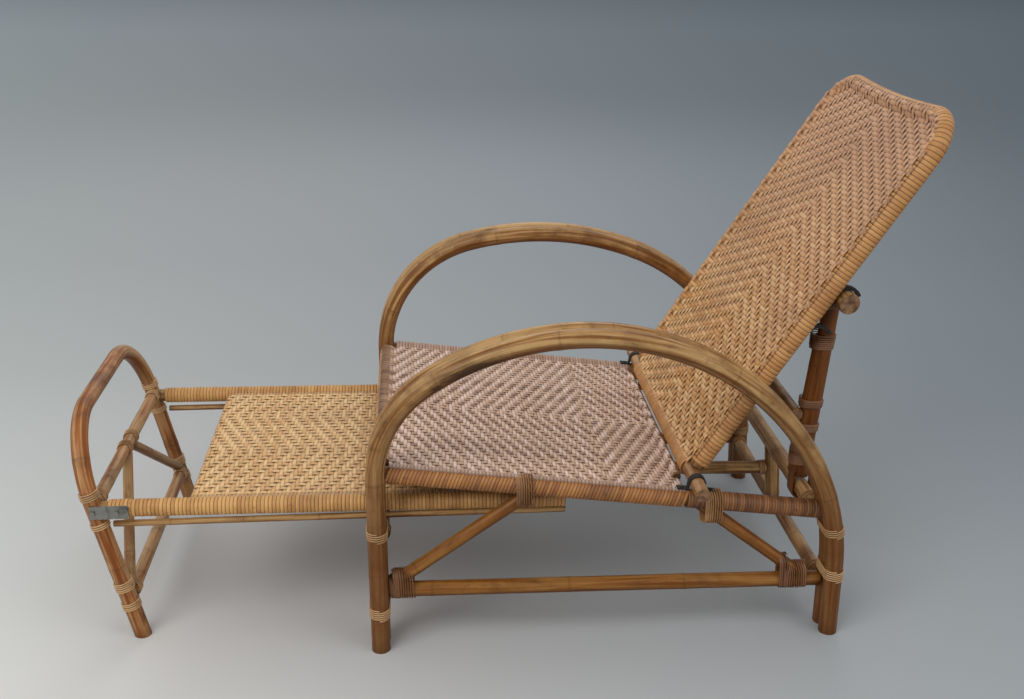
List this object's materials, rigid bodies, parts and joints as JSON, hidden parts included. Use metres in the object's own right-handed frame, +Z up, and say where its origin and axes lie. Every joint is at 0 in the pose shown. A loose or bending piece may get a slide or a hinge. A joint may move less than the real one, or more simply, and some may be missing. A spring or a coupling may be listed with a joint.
{
  "type": "steamer deck chair",
  "caption": "Reclining deck chair of bent cane poles with looped arms, woven seat and back, hooked prop stand and a slide-out woven footrest.",
  "frame": {"origin": "on the floor under the middle of the chair's outline", "axes": "+X from the footrest to the backrest, +Y to the sitter's right, +Z up"},
  "size_m": [1.4153, 0.656, 0.872],
  "materials": {
    "pole": "satin varnished rattan pole",
    "loop_pole": "satin varnished rattan pole, redder",
    "seat_weave": "woven split cane, worn satin",
    "back_weave": "woven split cane, satin",
    "foot_weave": "woven split cane, straw yellow",
    "straw_wrap": "close-wound cane strip",
    "rail_wrap": "close-wound cane strip",
    "cane": "cane lashing strip",
    "iron": "blackened iron bar",
    "galvanised": "dull galvanised plate"
  },
  "bodies": {
    "frame": {"arch_left_inner": "pole", "arch_left_outer": "pole", "arch_right_inner": "pole", "arch_right_outer": "pole", "centre_runner": "pole", "front_brace_left": "pole", "front_brace_right": "pole", "front_stretcher": "pole", "hinge_saddle_left": "iron", "hinge_saddle_right": "iron", "leg_lashings_left": "cane", "leg_lashings_right": "cane", "rail_wrap_left": "rail_wrap", "rail_wrap_right": "rail_wrap", "rear_brace_left": "pole", "rear_brace_right": "pole", "rear_crossbar": "pole", "rear_stretcher": "pole", "rear_strut": "pole", "saddle_nails": "iron", "seat_front_rail": "pole", "seat_rear_rail": "pole", "seat_side_rail_left": "pole", "seat_side_rail_right": "pole", "seat_weave": "seat_weave", "side_stretcher_left": "pole", "side_stretcher_right": "pole"},
    "footrest": {"bracket_bolts": "galvanised", "foot_front_rail": "pole", "foot_glide": "pole", "foot_loop": "loop_pole", "foot_rail_wrap_left": "straw_wrap", "foot_rail_wrap_right": "straw_wrap", "foot_rear_rail": "pole", "foot_side_rail_left": "pole", "foot_side_rail_right": "pole", "foot_skid_left": "pole", "foot_skid_right": "pole", "foot_weave": "foot_weave", "loop_bracket": "galvanised", "loop_lower_rail": "pole", "loop_strut_left": "pole", "loop_strut_right": "pole", "loop_upper_rail": "pole"},
    "backrest": {"pivot_rod": "pole", "back_frame": "pole", "back_weave": "back_weave", "upper_hooks": "iron", "lower_hooks": "iron"},
    "prop": {"prop_crossbar": "pole", "prop_lashings": "cane", "prop_post_left": "pole", "prop_post_right": "pole", "prop_rod": "pole"}
  },
  "joints": [
    {"name": "footrest_slide", "type": "slide", "parent": "frame", "child": "footrest", "axis": [1, 0, 0], "range_m": [0, 0.3]},
    {"name": "back_hinge", "type": "hinge", "parent": "frame", "child": "backrest", "pos_m": [0.3195, 0, 0.2794], "axis": [0, -1, 0], "range_deg": [0, 102]},
    {"name": "prop_hinge", "type": "hinge", "parent": "frame", "child": "prop", "pos_m": [0.5265, 0, 0.222], "axis": [0, -1, 0], "range_deg": [0, 61.5]}
  ],
  "couplings": [
    {"joint": "prop_hinge", "follows": "back_hinge", "ratio": 0.6}
  ]
}
